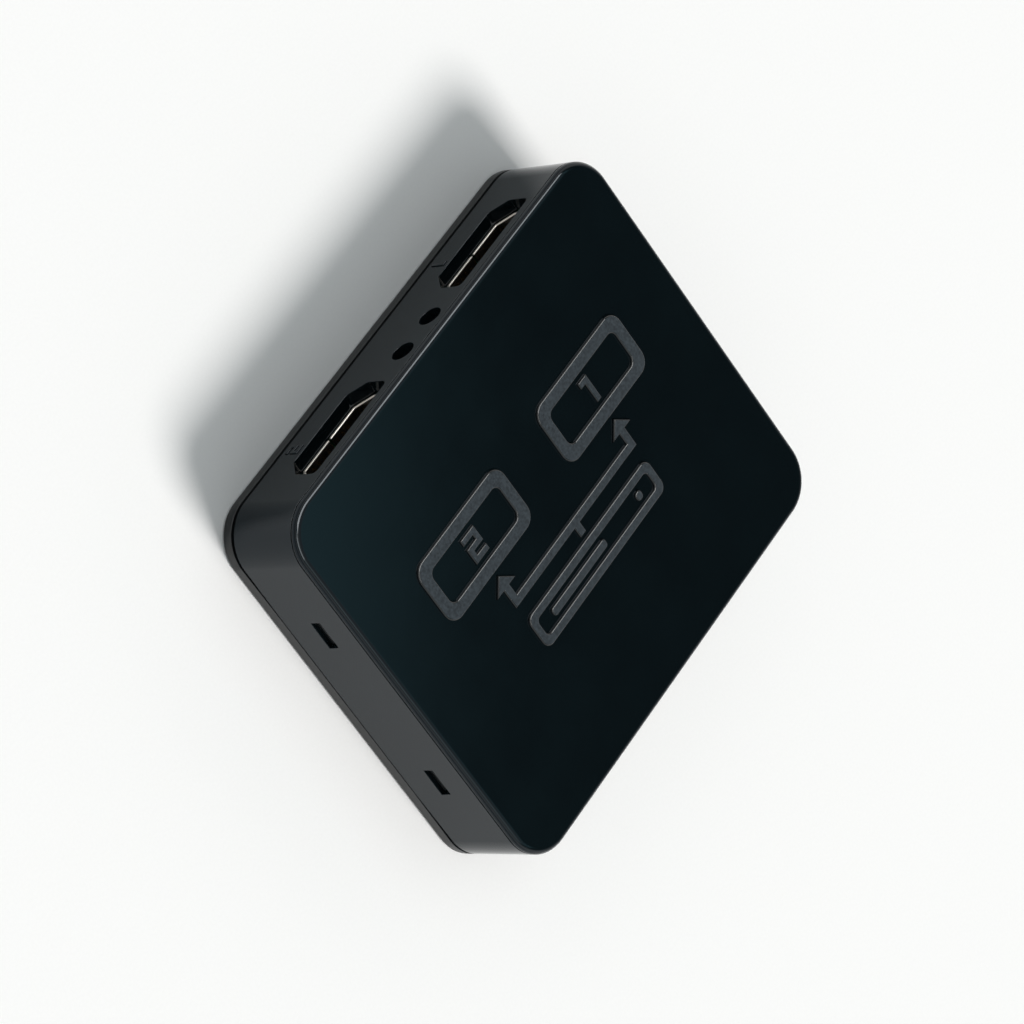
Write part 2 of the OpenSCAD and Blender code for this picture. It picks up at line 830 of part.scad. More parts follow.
// Insulator of a video socket: a block in the rear of the shell and the tongue, grooved for the contacts.
module socket_insulator() {
    color(matte_black)
        difference() {
            union() {
                along_y(-socket_depth, block_depth - socket_depth)
                    polygon(socket_outline(socket_w, socket_h, socket_cut, -fit, socket_bend));
                strip(0, tongue_w, -socket_depth, -tongue_setback, tongue_low, tongue_top);
            }
            socket_contacts(groove_play);
        }
}

// Stamped shell of the power inlet with its four legs.
module power_shell() {
    leg_low = board_z - leg_reach - power_z;
    color(plated_steel)
        at_power() {
            along_y(-power_depth, 0)
                difference() {
                    polygon(socket_outline(power_w, power_h, power_cut, power_sheet_t, socket_bend));
                    polygon(socket_outline(power_w, power_h, power_cut, 0, socket_bend));
                }
            for (side = [-1, 1], y = [-power_leg_inset, power_leg_inset - power_depth])
                strip(
                    side * (power_w + power_sheet_t) / 2, power_sheet_t,
                    y - power_leg_w / 2, y + power_leg_w / 2, leg_low, 0
                );
        }
}

// Row of contacts under the power inlet's tongue.
module power_row(play = 0) {
    for (i = [0 : power_contacts_n - 1])
        contact(
            (i - (power_contacts_n - 1) / 2) * power_pitch, -tongue_setback - contact_setback, power_depth,
            -contact_proud, power_z - board_top, play
        );
}

// Contacts of the power inlet.
module power_contacts() {
    color(gold)
        at_power()
            power_row();
}

// Insulator of the power inlet: a block and a thin tongue.
module power_insulator() {
    color(matte_black)
        at_power()
            difference() {
                union() {
                    along_y(-power_depth, power_block_depth - power_depth)
                        polygon(socket_outline(power_w, power_h, power_cut, -fit, socket_bend));
                    strip(0, power_tongue_w, -power_depth, -tongue_setback, 0, power_tongue_t);
                }
                power_row(groove_play);
            }
}

// Round lamps behind the two holes, with a domed lens and a flange.
module indicator_lenses() {
    color(lamp_clear)
        at_lamps()
            translate([0, lamp_back_y, lamp_z])
                rotate([-90, 0, 0])
                    rotate_extrude() {
                        edge_section(lamp_d / 2, lamp_l, lamp_d / 2, 0);
                        square([lamp_flange_d / 2, lamp_flange_t]);
                    }
}

// Square leads of the lamps, bent down into the board.
module indicator_leads() {
    color(solder)
        at_lamps()
            for (side = [-1, 1]) {
                x = side * lead_pitch / 2;
                bend_y = lead_y - lead_t / 2;
                strip(x, lead_t, bend_y, lamp_back_y, lamp_z - lead_t / 2, lamp_z + lead_t / 2);
                strip(x, lead_t, bend_y, bend_y + lead_t, board_z - leg_reach, lamp_z + lead_t / 2);
            }
}

// Section of a gull-wing lead that leaves a chip at the given height above the board.
function gull_wing(height) = [
    [0, height],
    [0, height + chip_lead_t],
    [shoulder_l + chip_lead_t, height + chip_lead_t],
    [shoulder_l + chip_lead_t, chip_lead_t],
    [shoulder_l + chip_lead_t + lead_foot_l, chip_lead_t],
    [shoulder_l + chip_lead_t + lead_foot_l, 0],
    [shoulder_l, 0],
    [shoulder_l, height]
];

// Row of gull-wing leads on the +X side of a chip.
module lead_row(count, pitch, width, height) {
    for (i = [0 : count - 1])
        translate([0, (i - (count - 1) / 2) * pitch, 0])
            rotate([90, 0, 0])
                linear_extrude(width, center = true)
                    polygon(gull_wing(height));
}

// Moulded chip body with a dimple that marks its first lead.
module chip_body(w, d, h) {
    dimple_d = 0.8;
    dimple_depth = 0.1;
    dimple_inset = 1;
    translate([0, 0, board_top + chip_lift])
        difference() {
            translate([-w / 2, -d / 2, 0])
                cube([w, d, h]);
            translate([dimple_inset - w / 2, dimple_inset - d / 2, h - dimple_depth])
                cylinder(d = dimple_d, h = 2 * dimple_depth);
        }
}

// Chip that copies the input to both outputs.
module splitter_chip() {
    color(chip_black)
        translate(chip_spot)
            chip_body(chip_w, chip_w, chip_h);
}

// Leads on all four sides of the splitter chip.
module splitter_chip_leads() {
    color(solder)
        translate(chip_spot)
            for (side = [0 : 3])
                rotate(90 * side)
                    translate([chip_w / 2, 0, board_top])
                        lead_row(chip_leads_n, chip_pitch, chip_lead_w, chip_h / 2);
}

// Two memory chips that hold the displays' data.
module memory_chips() {
    color(chip_black)
        for (spot = memory_spots)
            translate(spot)
                chip_body(memory_l, memory_w, memory_h);
}

// Four leads on each long side of the memory chips.
module memory_chip_leads() {
    leads_n = 4;
    color(solder)
        for (spot = memory_spots, side = [-1, 1])
            translate([spot[0], spot[1], board_top])
                rotate(90 * side)
                    translate([memory_w / 2, 0, 0])
                        lead_row(leads_n, memory_pitch, memory_lead_w, memory_h / 2);
}

// Voltage regulator.
module regulator_body() {
    color(chip_black)
        translate(regulator_spot)
            chip_body(regulator_l, regulator_w, regulator_h);
}

// Three leads on one side of the regulator and its wide tab on the other.
module regulator_leads() {
    leads_n = 3;
    color(solder)
        translate([regulator_spot[0], regulator_spot[1], board_top]) {
            rotate(-90)
                translate([regulator_w / 2, 0, 0])
                    lead_row(leads_n, regulator_pitch, regulator_lead_w, regulator_h / 2);
            rotate(90)
                translate([regulator_w / 2, 0, 0])
                    lead_row(1, regulator_pitch, tab_w, regulator_h / 2);
        }
}

// Base plate of the clock crystal.
module crystal_base() {
    w = crystal_w + 2 * crystal_rim;
    color(matte_black)
        translate([crystal_spot[0], crystal_spot[1], board_top])
            rounded_block(crystal_l + 2 * crystal_rim, w, crystal_base_t, w / 2 - crystal_rim);
}

// Drawn metal can of the clock crystal, with round ends and a soft upper edge.
module crystal_can() {
    top_r = 0.5;
    color(plated_steel)
        translate([crystal_spot[0], crystal_spot[1], board_top + crystal_base_t])
            rounded_block(crystal_l, crystal_w, crystal_h, crystal_w / 2 - crystal_rim, top_r);
}

// Bases of the electrolytic capacitors, with two cut corners that mark the plus side.
module capacitor_bases() {
    half = capacitor_d / 2 + capacitor_rim;
    cut = half / 2;
    color(matte_black)
        for (spot = capacitor_spots)
            translate([spot[0], spot[1], board_top])
                linear_extrude(capacitor_base_t)
                    polygon([
                        [-half, -half],
                        [half, -half],
                        [half, half - cut],
                        [half - cut, half],
                        [cut - half, half],
                        [-half, half - cut]
                    ]);
}

// Aluminium cans of the electrolytic capacitors, with a rolled groove above the base.
module capacitor_cans() {
    top_r = 0.3;
    groove_r = 0.25;
    groove_z = 0.7;
    can_r = capacitor_d / 2;
    color(plated_steel)
        for (spot = capacitor_spots)
            translate([spot[0], spot[1], board_top + capacitor_base_t])
                rotate_extrude()
                    difference() {
                        edge_section(can_r, capacitor_h - capacitor_base_t, top_r, 0);
                        translate([can_r, groove_z])
                            circle(groove_r);
                    }
}

// Shielded supply coil: a square ferrite frame with its round drum set in the top.
module power_coil() {
    frame_r = 0.6;
    ring_edge = 0.5;
    ring_w = 0.25;
    ring_depth = 0.4;
    ring_outer = coil_w / 2 - ring_edge;
    color(coil_grey)
        translate([coil_spot[0], coil_spot[1], board_top])
            difference() {
                rounded_block(coil_w, coil_w, coil_h, frame_r);
                translate([0, 0, coil_h - ring_depth])
                    difference() {
                        cylinder(r = ring_outer, h = 2 * ring_depth);
                        cylinder(r = ring_outer - ring_w, h = 2 * ring_depth);
                    }
            }
}

// Three surge arrays on the board behind one socket.
module array_row() {
    for (i = [-1 : 1])
        strip(
            i * array_pitch, array_l, -feet_end - array_gap - array_w, -feet_end - array_gap,
            -socket_drop, array_h - socket_drop
        );
}

// Surge arrays behind all three sockets.
module surge_arrays() {
    color(chip_black) {
        for (side = [-1, 1])
            at_output(side)
                array_row();
        at_input()
            array_row();
    }
}

// Small chip parts without their ends.
module chip_bodies(spots, h) {
    for (spot = spots)
        translate([spot[0][0], spot[0][1], board_top])
            rotate(spot[1])
                strip(0, chip_part_l - 2 * terminal_l, -chip_part_w / 2, chip_part_w / 2, 0, h);
}

// Soldered ends of small chip parts.
module chip_ends(spots, h) {
    for (spot = spots, side = [-1, 1])
        translate([spot[0][0], spot[0][1], board_top])
            rotate(spot[1])
                strip(
                    side * (chip_part_l - terminal_l) / 2, terminal_l,
                    -chip_part_w / 2, chip_part_w / 2, 0, h
                );
}

// Ceramic capacitors round the splitter chip.
module chip_capacitors() {
    color(ceramic_tan)
        chip_bodies(ring_spots, chip_capacitor_h);
}

// Resistors behind the outputs.
module chip_resistors() {
    color(chip_black)
        chip_bodies(row_spots, resistor_h);
}

// Soldered ends of the small capacitors and resistors.
module chip_terminals() {
    color(solder) {
        chip_ends(ring_spots, chip_capacitor_h);
        chip_ends(row_spots, resistor_h);
    }
}

top_shell();
bottom_cover();
circuit_board();
at_output(1) socket_shell();  // output_1_shell
at_output(1) socket_insulator();  // output_1_insulator
at_output(1) socket_contacts();  // output_1_contacts
at_output(-1) socket_shell();  // output_2_shell
at_output(-1) socket_insulator();  // output_2_insulator
at_output(-1) socket_contacts();  // output_2_contacts
at_input() socket_shell();  // input_shell
at_input() socket_insulator();  // input_insulator
at_input() socket_contacts();  // input_contacts
power_shell();
power_insulator();
power_contacts();
indicator_lenses();
indicator_leads();
splitter_chip();
splitter_chip_leads();
memory_chips();
memory_chip_leads();
regulator_body();
regulator_leads();
crystal_can();
crystal_base();
capacitor_cans();
capacitor_bases();
power_coil();
surge_arrays();
chip_capacitors();
chip_resistors();
chip_terminals();
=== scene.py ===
# Looks of a small black splitter box with one input and two outputs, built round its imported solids.
# Lengths are named in millimetres and turned to metres with MM where they are used.
import math

import bmesh
import bpy
from mathutils import Matrix, Quaternion, Vector


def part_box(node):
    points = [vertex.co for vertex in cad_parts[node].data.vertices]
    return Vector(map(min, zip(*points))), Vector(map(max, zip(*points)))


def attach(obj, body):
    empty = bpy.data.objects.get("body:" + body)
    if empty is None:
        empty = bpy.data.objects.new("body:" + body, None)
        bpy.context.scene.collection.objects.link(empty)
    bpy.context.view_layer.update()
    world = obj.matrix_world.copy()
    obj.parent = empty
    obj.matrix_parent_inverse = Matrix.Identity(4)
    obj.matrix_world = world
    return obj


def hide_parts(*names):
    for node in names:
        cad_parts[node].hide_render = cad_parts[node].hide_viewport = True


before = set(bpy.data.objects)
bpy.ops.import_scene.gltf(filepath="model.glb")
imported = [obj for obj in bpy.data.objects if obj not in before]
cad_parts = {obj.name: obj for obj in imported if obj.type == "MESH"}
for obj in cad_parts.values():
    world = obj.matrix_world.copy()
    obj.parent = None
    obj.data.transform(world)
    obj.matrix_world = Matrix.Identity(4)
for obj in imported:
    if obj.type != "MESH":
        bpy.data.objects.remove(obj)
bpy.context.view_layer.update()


# Bottom cover
# A thin injection-moulded plate of black ABS that snaps into the upper housing with four hooks.
# Its tool was spark eroded, so it looks satin beside the polished housing.

MM = 0.001
COVER_EDGE = 0.06
CORNER_R = 5.4
WALL_REACH = 0.03
MERGE_REACH = 0.002
SLIVER = 0.0005
ROUND_STEPS = 3
FLAT_ANGLE = math.radians(0.5)
FACE_ANGLE = math.radians(32)
GRAIN_LOW = 0.3
GRAIN_HIGH = 0.7


def hex_colour(code):
    """Linear colour of an sRGB hex value."""
    channels = [int(code[i : i + 2], 16) / 255 for i in (1, 3, 5)]
    linear = [c / 12.92 if c <= 0.04045 else ((c + 0.055) / 1.055) ** 2.4 for c in channels]
    return (*linear, 1)


def add_node(tree, kind, inputs=None, stops=(), **settings):
    """Adds a node with its settings, its plain or linked inputs, and a ramp's places and hex colours."""
    made = tree.nodes.new(kind)
    for name, value in settings.items():
        setattr(made, name, value)
    for name, value in (inputs or {}).items():
        if isinstance(value, bpy.types.NodeSocket):
            tree.links.new(value, made.inputs[name])
        else:
            made.inputs[name].default_value = value
    for position, _ in stops[2:]:
        made.color_ramp.elements.new(position)
    for index, (position, colour) in enumerate(stops):
        made.color_ramp.elements[index].position = position
        made.color_ramp.elements[index].color = hex_colour(colour)
    return made


def start_material(name, **surface):
    """A material with its main shader, and the piece's own coordinates for its patterns."""
    material = bpy.data.materials.new(name)
    material.use_nodes = True
    tree = material.node_tree
    tree.nodes.clear()
    shader = add_node(tree, "ShaderNodeBsdfPrincipled", surface)
    add_node(tree, "ShaderNodeOutputMaterial", {"Surface": shader.outputs["BSDF"]})
    place = add_node(tree, "ShaderNodeTexCoord").outputs["Object"]
    return material, tree, shader, place


def add_grain(tree, place, size, detail=2.0):
    """Random pattern with spots of about one size in millimetres."""
    grain = add_node(
        tree, "ShaderNodeTexNoise", {"Vector": place, "Scale": 1 / (size * MM), "Detail": detail}
    )
    return grain.outputs["Fac"]


def raise_grain(tree, shader, pattern, height):
    """Lets a pattern stand out of the surface by a height in millimetres."""
    relief = add_node(tree, "ShaderNodeBump", {"Height": pattern, "Distance": height * MM})
    tree.links.new(relief.outputs["Normal"], shader.inputs["Normal"])


def vary_gloss(tree, shader, pattern, low, high):
    """Lets a pattern vary the roughness between two values."""
    ramp = add_node(
        tree,
        "ShaderNodeMapRange",
        {
            "Value": pattern,
            "From Min": GRAIN_LOW,
            "From Max": GRAIN_HIGH,
            "To Min": low,
            "To Max": high,
        },
    )
    tree.links.new(ramp.outputs["Result"], shader.inputs["Roughness"])


def vary_colour(tree, shader, pattern, dark, light):
    """Lets a pattern vary the colour between two hex values."""
    shades = ((GRAIN_LOW, dark), (GRAIN_HIGH, light))
    ramp = add_node(tree, "ShaderNodeValToRGB", {"Fac": pattern}, stops=shades)
    tree.links.new(ramp.outputs["Color"], shader.inputs["Base Color"])


def spark_eroded_abs():
    """Black ABS from a spark-eroded tool: tiny pits scatter the light into a soft satin sheen.
    The pits are drawn at 0.16 mm, coarser than real, so that they show in a picture."""
    material, tree, shader, place = start_material("spark_eroded_black_abs", IOR=1.48)
    pits = add_grain(tree, place, size=0.16)
    raise_grain(tree, shader, pits, height=0.005)
    vary_gloss(tree, shader, pits, 0.3, 0.42)
    vary_colour(tree, shader, pits, "#0b0f11", "#101518")
    return material


def merged_copy(node):
    """Editable copy of a CAD node, with its loose triangles merged into whole faces."""
    shaped = bmesh.new()
    shaped.from_mesh(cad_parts[node].data)
    bmesh.ops.remove_doubles(shaped, verts=shaped.verts, dist=MERGE_REACH * MM)
    bmesh.ops.dissolve_limit(
        shaped, angle_limit=FLAT_ANGLE, verts=shaped.verts, edges=shaped.edges
    )
    return shaped


def round_edges(shaped, width, wanted):
    """Rounds the sharp edges whose middle is wanted, as moulding and stamping leave them."""
    sharp = [
        edge
        for edge in shaped.edges
        if edge.is_manifold
        and edge.calc_face_angle() > FACE_ANGLE
        and wanted((edge.verts[0].co + edge.verts[1].co) / 2)
    ]
    bmesh.ops.bevel(
        shaped,
        geom=sharp,
        offset=width * MM,
        segments=ROUND_STEPS,
        profile=0.5,
        affect="EDGES",
        clamp_overlap=True,
    )
    bmesh.ops.dissolve_degenerate(shaped, dist=SLIVER * MM, edges=shaped.edges)


def on_outer_wall(node):
    """Test for points on the outer wall of a node, with its four round corners."""
    low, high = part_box(node)
    middle = (low + high) / 2
    round_x = (high.x - low.x) / 2 - CORNER_R * MM
    round_y = (high.y - low.y) / 2 - CORNER_R * MM

    def on_wall(at):
        over_x = abs(at.x - middle.x) - round_x
        over_y = abs(at.y - middle.y) - round_y
        out = math.hypot(over_x, over_y) if min(over_x, over_y) > 0 else max(over_x, over_y)
        return out > (CORNER_R - WALL_REACH) * MM

    return on_wall


def place_piece(name, shaped, material, slot, *nodes):
    """Makes a finished piece of the object, which stands for the CAD nodes named."""
    mesh = bpy.data.meshes.new(name)
    shaped.to_mesh(mesh)
    shaped.free()
    for face in mesh.polygons:
        face.use_smooth = True
    mesh.set_sharp_from_angle(angle=FACE_ANGLE)
    mesh.materials.append(material)
    piece = bpy.data.objects.new(name, mesh)
    bpy.context.scene.collection.objects.link(piece)
    flatten = piece.modifiers.new("flat_faces_stay_flat", "WEIGHTED_NORMAL")
    flatten.keep_sharp = True
    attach(piece, "root")
    if nodes:
        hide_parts(*nodes)


cover = merged_copy("bottom_cover")
round_edges(cover, COVER_EDGE, on_outer_wall("bottom_cover"))
place_piece("bottom_cover_moulded", cover, spark_eroded_abs(), "satin_black_abs", "bottom_cover")


# Circuit board with its parts
# A green glass-epoxy board, clamped between the posts of cover and housing, with soldered parts.
# The closed box hides it, so the CAD solids stay and get their finishes here.

TRACK_PITCH = 1.2


def green_laminate():
    """Glass-epoxy board under green solder mask: copper tracks show through as lighter lines."""
    material, tree, shader, place = start_material("green_masked_laminate", Roughness=0.35)
    tracks = add_node(
        tree,
        "ShaderNodeTexBrick",
        {
            "Vector": place,
            "Color1": hex_colour("#17402b"),
            "Color2": hex_colour("#1b4a32"),
            "Mortar": hex_colour("#2f6b49"),
            "Scale": 1 / (2 * TRACK_PITCH * MM),
            "Mortar Size": 0.05,
            "Brick Width": 2.0,
            "Row Height": 0.5,
        },
    )
    tree.links.new(tracks.outputs["Color"], shader.inputs["Base Color"])
    raise_grain(tree, shader, tracks.outputs["Fac"], height=0.02)
    return material


def grained(name, dark, light, size, height, smooth, rough, **surface):
    """A material of fine grains in two shades of one colour, with an uneven gloss."""
    material, tree, shader, place = start_material(name, **surface)
    pattern = add_grain(tree, place, size)
    raise_grain(tree, shader, pattern, height)
    vary_gloss(tree, shader, pattern, smooth, rough)
    vary_colour(tree, shader, pattern, dark, light)
    return material


def dress(material, slot, *nodes):
    """Gives CAD nodes their finish."""
    for node in nodes:
        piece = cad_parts[node]
        if not piece.material_slots:
            piece.data.materials.append(material)
        for holder in piece.material_slots:
            holder.material = material


# Moulded epoxy looks dull and sandy, from the quartz powder that fills it.
chip_epoxy = grained(
    "moulded_chip_epoxy", "#1c1d1f", "#28292b", size=0.12, height=0.004, smooth=0.55, rough=0.7
)
# Tin dipped leads are pale grey and a little cloudy.
tinned = grained(
    "dip_tinned_copper",
    "#9c9d9e",
    "#c2c3c2",
    size=0.2,
    height=0.002,
    smooth=0.25,
    rough=0.4,
    Metallic=1.0,
)
# Deep-drawn nickel steel is bright, with a faint skin of drawing marks.
drawn = grained(
    "deep_drawn_nickel_steel",
    "#a9a69f",
    "#c4c1b9",
    size=0.35,
    height=0.002,
    smooth=0.18,
    rough=0.3,
    Metallic=1.0,
)
# Impact-extruded aluminium is paler and more matt than steel.
extruded = grained(
    "impact_extruded_aluminium",
    "#b9babb",
    "#d3d4d5",
    size=0.25,
    height=0.002,
    smooth=0.3,
    rough=0.42,
    Metallic=1.0,
)
# Fired capacitor ceramic is a matt tan.
ceramic = grained(
    "fired_tan_ceramic", "#97794f", "#b1946b", size=0.1, height=0.003, smooth=0.5, rough=0.65
)
# Pressed ferrite is a dark grey with a rough, slightly shiny grain.
ferrite = grained(
    "pressed_grey_ferrite", "#3d3e41", "#525357", size=0.15, height=0.006, smooth=0.45, rough=0.6
)
# Liquid-crystal polymer is a dead black with faint brown flow streaks.
lcp = grained(
    "moulded_black_lcp", "#0c0b0a", "#1a1714", size=0.3, height=0.004, smooth=0.5, rough=0.62
)

dress(green_laminate(), "green_laminate", "circuit_board")
dress(chip_epoxy, "chip_epoxy", "splitter_chip", "memory_chips", "regulator_body")
dress(chip_epoxy, "chip_epoxy", "surge_arrays", "chip_resistors")
dress(tinned, "tinned_leads", "splitter_chip_leads", "memory_chip_leads", "regulator_leads")
dress(tinned, "tinned_leads", "indicator_leads", "chip_terminals")
dress(drawn, "drawn_steel_can", "crystal_can")
dress(extruded, "aluminium_can", "capacitor_cans")
dress(ceramic, "tan_ceramic", "chip_capacitors")
dress(ferrite, "grey_ferrite", "power_coil")
dress(lcp, "black_lcp", "crystal_base", "capacitor_bases")


# Socket shells
# Tubes bent from tin plated steel strip, those of the video sockets with springs and a joint below.
# Four legs of each are soldered into the board, and the strip's cut front edge is rolled over.

SHEET_ROLL = {"output_1": 0.12, "output_2": 0.12, "input": 0.12, "power": 0.08}
JOINT_HALF = 0.08
JOINT_OPENS = 0.1
JOINT_REACH = 0.01
FRONT_REACH = 0.02
FRONT_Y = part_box("output_1_shell")[1].y
EDGE_STARTS = 0.25
EDGE_FULL = 0.1
EDGE_GLOSS = 0.42
EDGE_PAINTED_HIGHLIGHT = "#e6e0d6"
ROLLING_STRETCH = 0.06


def refinish(tree, shader, mask, gloss, colour):
    """Gives part of a surface, where a mask is white, a roughness and a hex colour of its own."""
    for name, own in (("Roughness", (gloss, gloss, gloss, 1)), ("Base Color", hex_colour(colour))):
        rest = shader.inputs[name].links[0].from_socket
        mixed = add_node(tree, "ShaderNodeMixRGB", {"Fac": mask, "Color1": rest, "Color2": own})
        tree.links.new(mixed.outputs["Color"], shader.inputs[name])


def plated_steel():
    """Tin plated steel strip: slightly warm, with fine rolling lines along the socket.
    Its faces mirror the dark inside of the socket. The rolled edge at the opening is rougher, and its
    paler colour there is a painted highlight. The lines are drawn at 0.12 mm, coarser than real, to
    show."""
    material, tree, shader, place = start_material("tin_plated_steel_strip", Metallic=1.0)
    stretch = (1.0, ROLLING_STRETCH, 1.0)
    along = add_node(tree, "ShaderNodeMapping", {"Vector": place, "Scale": stretch})
    lines = add_grain(tree, along.outputs["Vector"], size=0.12)
    raise_grain(tree, shader, lines, height=0.001)
    vary_gloss(tree, shader, lines, 0.12, 0.2)
    vary_colour(tree, shader, lines, "#a39d93", "#c4beb4")
    out = add_node(tree, "ShaderNodeSeparateXYZ", {"Vector": place}).outputs["Y"]
    depth = add_node(tree, "ShaderNodeMath", {0: out}, operation="ABSOLUTE").outputs["Value"]
    edge = add_node(
        tree,
        "ShaderNodeMapRange",
        {
            "Value": depth,
            "From Min": FRONT_Y - EDGE_STARTS * MM,
            "From Max": FRONT_Y - EDGE_FULL * MM,
        },
    )
    # The paler colour at the front edge is a painted highlight; its higher roughness is real.
    refinish(tree, shader, edge.outputs["Result"], EDGE_GLOSS, EDGE_PAINTED_HIGHLIGHT)
    return material


def open_joint(shaped, node):
    """Lets the joint of a shell gape, because the two bent edges of the strip stand apart."""
    low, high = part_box(node)
    middle = (low.x + high.x) / 2
    for vertex in shaped.verts:
        if abs(abs(vertex.co.x - middle) - JOINT_HALF * MM) < JOINT_REACH * MM:
            vertex.co.x += math.copysign(JOINT_OPENS * MM, vertex.co.x - middle)


def on_front_edge(node):
    """Test for points in the front plane of a socket's piece, where it faces out of the box."""
    low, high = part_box(node)
    front = high.y if high.y + low.y > 0 else low.y
    return lambda at: abs(at.y - front) < FRONT_REACH * MM


tin_steel = plated_steel()
for socket, roll in SHEET_ROLL.items():
    shell = socket + "_shell"
    stamped = merged_copy(shell)
    open_joint(stamped, shell)
    round_edges(stamped, roll, on_front_edge(shell))
    place_piece(shell + "_stamped", stamped, tin_steel, "tin_plated_steel", shell)


# Socket insulators
# Blocks of black liquid-crystal polymer that fill the rear of each shell and carry the tongue.
# They are moulded with a groove for each contact. The tongue's tip is rounded to lead the plug in.

TONGUE_TIP = 0.08

for socket in SHEET_ROLL:
    block = socket + "_insulator"
    moulded = merged_copy(block)
    round_edges(moulded, TONGUE_TIP, on_front_edge(block))
    place_piece(block + "_moulded", moulded, lcp, "black_lcp", block)


# Contacts
# Strips stamped from copper alloy and plated with gold, in two rows on the tongue of a video socket
# and in one row on the power inlet's. Each is bent down behind the block and soldered to the board.

CONTACT_W = 0.3
CONTACT_T = 0.2
CONTACT_BEND = 0.12
CONTACT_REACH = 0.03
CONTACT_FOOT = 0.9
VIDEO_ROWS = {"pitch": 1.0, "upper": 10, "lower": 9, "row_drop": 1.6}
POWER_ROWS = {"pitch": 0.65, "upper": 5, "lower": 0, "row_drop": 0.0}


def contact_strip(name, front, back, top, foot_z):
    """Object of one contact at x = 0: along the tongue, down behind the block, then a foot."""
    way = math.copysign(1, front - back)
    thick = CONTACT_T * MM
    heel = back + way * CONTACT_FOOT * MM
    toe = heel + way * thick
    outline = [
        (front, top),
        (front, top - thick),
        (toe, top - thick),
        (toe, foot_z),
        (back, foot_z),
        (back, foot_z + thick),
        (heel, foot_z + thick),
        (heel, top),
    ]
    shaped = bmesh.new()
    side = shaped.faces.new([shaped.verts.new((-CONTACT_W * MM / 2, y, z)) for y, z in outline])
    swept = bmesh.ops.extrude_face_region(shaped, geom=[side])["geom"]
    moved = [part for part in swept if isinstance(part, bmesh.types.BMVert)]
    bmesh.ops.translate(shaped, verts=moved, vec=(CONTACT_W * MM, 0, 0))
    bmesh.ops.recalc_face_normals(shaped, faces=shaped.faces)

    def is_bend(at):
        from_ends = min(abs(at.y - front), abs(at.y - back))
        return abs(at.x) < CONTACT_REACH * MM < from_ends

    round_edges(shaped, CONTACT_BEND, is_bend)
    mesh = bpy.data.meshes.new(name)
    shaped.to_mesh(mesh)
    shaped.free()
    strip = bpy.data.objects.new(name, mesh)
    bpy.context.scene.collection.objects.link(strip)
    return strip


def contact_rows():
    """Geometry Nodes tree that sets an upper and a lower row of contacts side by side."""
    tree = bpy.data.node_groups.new("contact_rows", "GeometryNodeTree")
    tree.is_modifier = True
    for name, kind in {
        "Upper contact": "NodeSocketObject",
        "Lower contact": "NodeSocketObject",
        "Upper count": "NodeSocketInt",
        "Lower count": "NodeSocketInt",
        "Pitch": "NodeSocketFloat",
        "Middle": "NodeSocketFloat",
        "Finish": "NodeSocketMaterial",
    }.items():
        tree.interface.new_socket(name, in_out="INPUT", socket_type=kind)
    tree.interface.new_socket("Contacts", in_out="OUTPUT", socket_type="NodeSocketGeometry")
    given = add_node(tree, "NodeGroupInput").outputs
    rows = add_node(tree, "GeometryNodeJoinGeometry")
    for row in ("Upper", "Lower"):
        count = given[row + " count"]
        gaps = add_node(tree, "ShaderNodeMath", {0: count, 1: 1.0}, operation="SUBTRACT")
        length = add_node(
            tree, "ShaderNodeMath", {0: gaps.outputs[0], 1: given["Pitch"]}, operation="MULTIPLY"
        )
        half = add_node(tree, "ShaderNodeMath", {0: length.outputs[0], 1: 2.0}, operation="DIVIDE")
        first = add_node(
            tree, "ShaderNodeMath", {0: given["Middle"], 1: half.outputs[0]}, operation="SUBTRACT"
        )
        start = add_node(tree, "ShaderNodeCombineXYZ", {"X": first.outputs[0]})
        step = add_node(tree, "ShaderNodeCombineXYZ", {"X": given["Pitch"]})
        spots = add_node(
            tree,
            "GeometryNodeMeshLine",
            {"Count": count, "Start Location": start.outputs[0], "Offset": step.outputs[0]},
        )
        strip = add_node(
            tree, "GeometryNodeObjectInfo", {"Object": given[row + " contact"], "As Instance": True}
        )
        placed = add_node(
            tree,
            "GeometryNodeInstanceOnPoints",
            {"Points": spots.outputs["Mesh"], "Instance": strip.outputs["Geometry"]},
        )
        tree.links.new(placed.outputs["Instances"], rows.inputs["Geometry"])
    real = add_node(tree, "GeometryNodeRealizeInstances", {"Geometry": rows.outputs["Geometry"]})
    finished = add_node(
        tree,
        "GeometryNodeSetMaterial",
        {"Geometry": real.outputs["Geometry"], "Material": given["Finish"]},
    )
    add_node(tree, "NodeGroupOutput", {"Contacts": finished.outputs["Geometry"]})
    return tree


def baked(maker):
    """Plain mesh of an object as its modifiers leave it. The object is removed."""
    bpy.context.view_layer.update()
    finished = maker.evaluated_get(bpy.context.evaluated_depsgraph_get())
    mesh = bpy.data.meshes.new_from_object(finished)
    bpy.data.objects.remove(maker)
    return mesh


